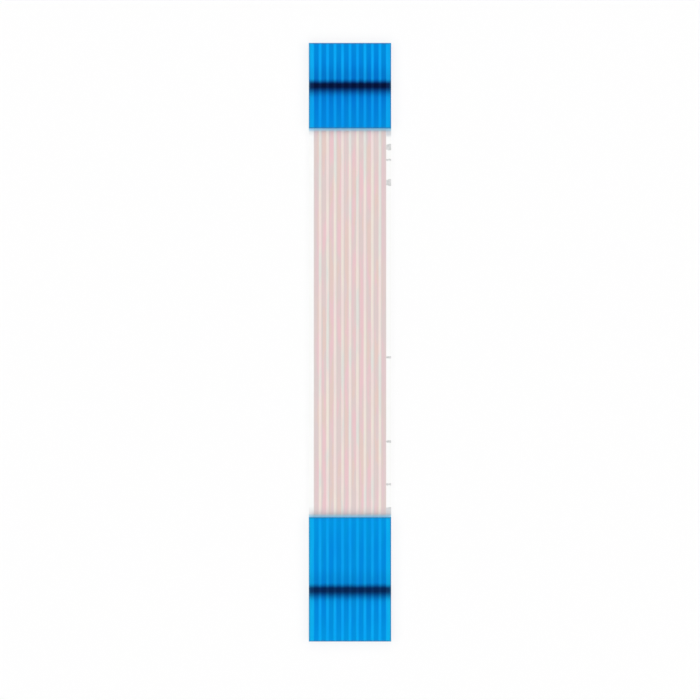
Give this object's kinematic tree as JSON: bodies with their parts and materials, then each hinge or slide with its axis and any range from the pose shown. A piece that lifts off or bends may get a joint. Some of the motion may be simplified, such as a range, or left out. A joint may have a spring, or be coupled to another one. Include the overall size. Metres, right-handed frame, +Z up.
{
  "type": "flat flex cable",
  "caption": "Short straight flat flex cable: parallel flat copper conductors laminated between two thin films, bare on one side at both ends, with a blue stiffener tape behind each end",
  "frame": {"origin": "Under the middle of the cable, on the surface that it lies on", "axes": "+X across the cable, +Y along it towards the short stiffener, +Z up, towards the side that the stiffeners are on; the bare contacts face -Z"},
  "size_m": [0.0054, 0.04, 0.0004],
  "materials": {
    "film": "milky polyester film with the conductors showing through as pale pink stripes",
    "stiffener": "smooth blue polyester tape, slightly see-through",
    "conductor": "bright tinned copper"
  },
  "bodies": {
    "root": {"upper_film": "film", "lower_film": "film", "short_stiffener": "stiffener", "long_stiffener": "stiffener", "conductor_01": "conductor", "conductor_02": "conductor", "conductor_03": "conductor", "conductor_04": "conductor", "conductor_05": "conductor", "conductor_06": "conductor", "conductor_07": "conductor", "conductor_08": "conductor", "conductor_09": "conductor", "conductor_10": "conductor"}
  },
  "joints": []
}
